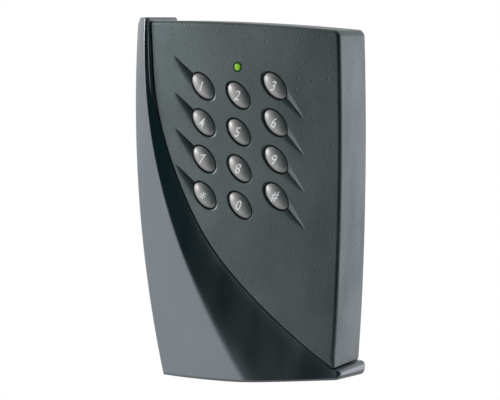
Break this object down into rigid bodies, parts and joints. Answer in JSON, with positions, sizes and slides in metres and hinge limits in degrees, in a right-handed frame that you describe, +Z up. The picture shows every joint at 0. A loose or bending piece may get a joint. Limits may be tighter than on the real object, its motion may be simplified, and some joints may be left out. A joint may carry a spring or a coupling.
{
  "type": "keypad access reader",
  "caption": "Wall-mounted access keypad with oval slanted keys, a status light and a smooth cover that sweeps round a textured face.",
  "frame": {"origin": "centre of the back plate's flat rear face, which lies on the wall", "axes": "+Z up along the housing's height, +Y into the wall, +X to the right for someone facing the keys"},
  "size_m": [0.0978, 0.0256, 0.1462],
  "materials": {
    "wing_gloss": "smooth semi-gloss moulded plastic, slate grey",
    "cover_texture": "fine spark-eroded texture, dark slate grey",
    "plate_black": "black moulded plastic",
    "key_satin": "satin metallic finish, convex",
    "mat_silicone": "translucent grey silicone",
    "board_green": "glass-fibre board with green solder resist",
    "chip_black": "black moulded resin",
    "can_steel": "plain steel can",
    "screw_steel": "zinc-plated steel",
    "coil_copper": "enamelled copper wire",
    "lens_green": "clear green moulded light guide",
    "led_green": "green lamp body",
    "relay_blue": "blue relay case",
    "terminal_green": "green terminal block",
    "rubber_black": "black rubber",
    "button_white": "white moulded button"
  },
  "bodies": {
    "housing": {"antenna_coil": "coil_copper", "back_plate": "plate_black", "board_screw_1": "screw_steel", "board_screw_2": "screw_steel", "board_screw_3": "screw_steel", "board_screw_4": "screw_steel", "buzzer": "chip_black", "cable_grommet": "rubber_black", "circuit_board": "board_green", "controller_chip": "chip_black", "cover_screw": "screw_steel", "crystal": "can_steel", "keypad_cover": "cover_texture", "keypad_mat": "mat_silicone", "led_lens": "lens_green", "reader_chip": "chip_black", "relay": "relay_blue", "status_led": "led_green", "storage_capacitor": "chip_black", "tamper_switch": "chip_black", "terminal_block": "terminal_green", "wing_cover": "wing_gloss", "wing_screw_1": "screw_steel", "wing_screw_2": "screw_steel", "wing_screw_3": "screw_steel"},
    "key_0": {"key_0": "key_satin"},
    "key_1": {"key_1": "key_satin"},
    "key_2": {"key_2": "key_satin"},
    "key_3": {"key_3": "key_satin"},
    "key_4": {"key_4": "key_satin"},
    "key_5": {"key_5": "key_satin"},
    "key_6": {"key_6": "key_satin"},
    "key_7": {"key_7": "key_satin"},
    "key_8": {"key_8": "key_satin"},
    "key_9": {"key_9": "key_satin"},
    "key_hash": {"key_hash": "key_satin"},
    "key_star": {"key_star": "key_satin"},
    "tamper_plunger": {"tamper_plunger": "button_white"}
  },
  "joints": [
    {"name": "key_0_press", "type": "slide", "parent": "housing", "child": "key_0", "axis": [0, 1, 0], "range_m": [0, 0.0012], "stiffness_N_per_m": 400},
    {"name": "key_1_press", "type": "slide", "parent": "housing", "child": "key_1", "axis": [0, 1, 0], "range_m": [0, 0.0012], "stiffness_N_per_m": 400},
    {"name": "key_2_press", "type": "slide", "parent": "housing", "child": "key_2", "axis": [0, 1, 0], "range_m": [0, 0.0012], "stiffness_N_per_m": 400},
    {"name": "key_3_press", "type": "slide", "parent": "housing", "child": "key_3", "axis": [0, 1, 0], "range_m": [0, 0.0012], "stiffness_N_per_m": 400},
    {"name": "key_4_press", "type": "slide", "parent": "housing", "child": "key_4", "axis": [0, 1, 0], "range_m": [0, 0.0012], "stiffness_N_per_m": 400},
    {"name": "key_5_press", "type": "slide", "parent": "housing", "child": "key_5", "axis": [0, 1, 0], "range_m": [0, 0.0012], "stiffness_N_per_m": 400},
    {"name": "key_6_press", "type": "slide", "parent": "housing", "child": "key_6", "axis": [0, 1, 0], "range_m": [0, 0.0012], "stiffness_N_per_m": 400},
    {"name": "key_7_press", "type": "slide", "parent": "housing", "child": "key_7", "axis": [0, 1, 0], "range_m": [0, 0.0012], "stiffness_N_per_m": 400},
    {"name": "key_8_press", "type": "slide", "parent": "housing", "child": "key_8", "axis": [0, 1, 0], "range_m": [0, 0.0012], "stiffness_N_per_m": 400},
    {"name": "key_9_press", "type": "slide", "parent": "housing", "child": "key_9", "axis": [0, 1, 0], "range_m": [0, 0.0012], "stiffness_N_per_m": 400},
    {"name": "key_hash_press", "type": "slide", "parent": "housing", "child": "key_hash", "axis": [0, 1, 0], "range_m": [0, 0.0012], "stiffness_N_per_m": 400},
    {"name": "key_star_press", "type": "slide", "parent": "housing", "child": "key_star", "axis": [0, 1, 0], "range_m": [0, 0.0012], "stiffness_N_per_m": 400},
    {"name": "tamper_press", "type": "slide", "parent": "housing", "child": "tamper_plunger", "axis": [0, -1, 0], "range_m": [0, 0.0005], "stiffness_N_per_m": 300}
  ]
}
